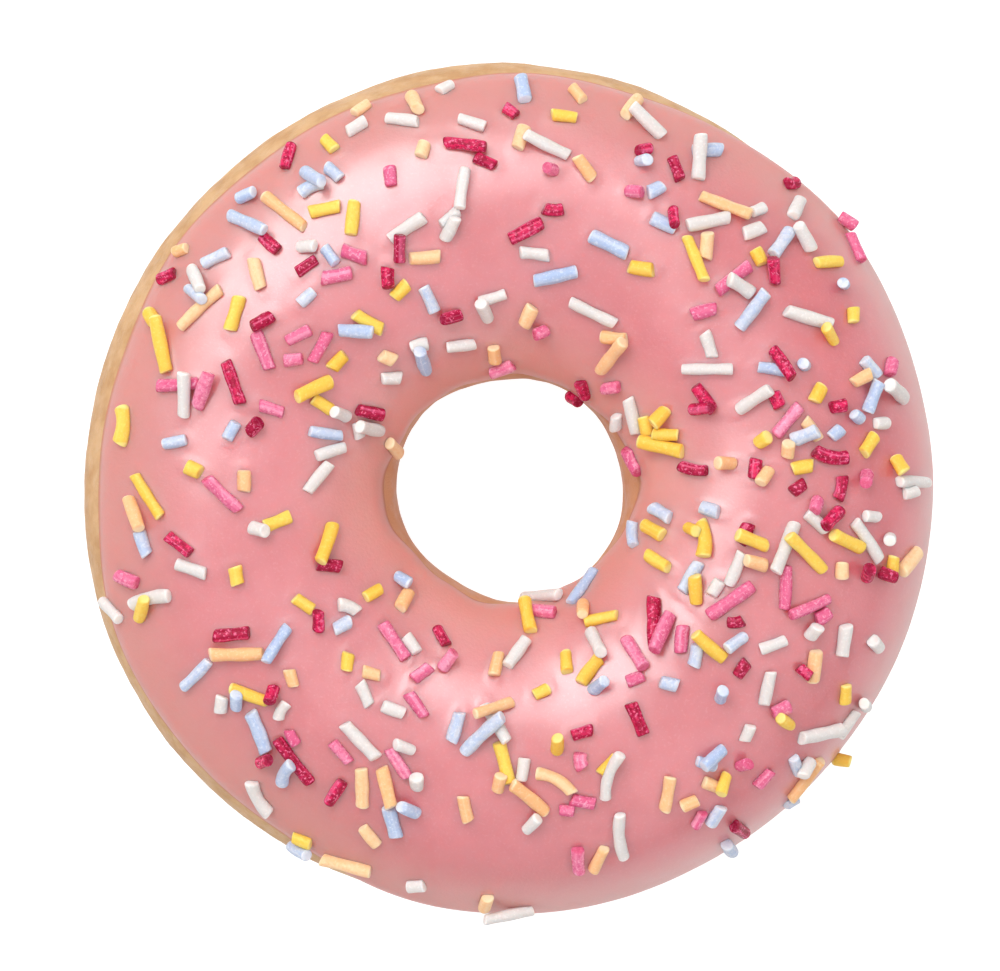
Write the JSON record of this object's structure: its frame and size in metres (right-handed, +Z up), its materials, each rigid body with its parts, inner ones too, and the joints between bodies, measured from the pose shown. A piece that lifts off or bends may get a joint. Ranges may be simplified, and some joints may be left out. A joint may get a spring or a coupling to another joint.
{
  "type": "iced ring doughnut with sugar strands",
  "caption": "Round fried ring of yeast dough with a hole through the middle, a coat of pink icing over its top half and coloured sugar strands stuck to the icing.",
  "frame": {"origin": "middle of the ring, on the surface that it rests on", "axes": "+Z up through the hole; seen from above, +Y is twelve o'clock and +X is three o'clock"},
  "size_m": [0.0901, 0.091, 0.0318],
  "materials": {
    "dough_crust": "fried dough, golden brown with a pale belt at the waist",
    "pink_icing": "soft satin sugar icing"
  },
  "bodies": {
    "root": {"dough_ring": "dough_crust", "pink_icing": "pink_icing"}
  },
  "joints": []
}
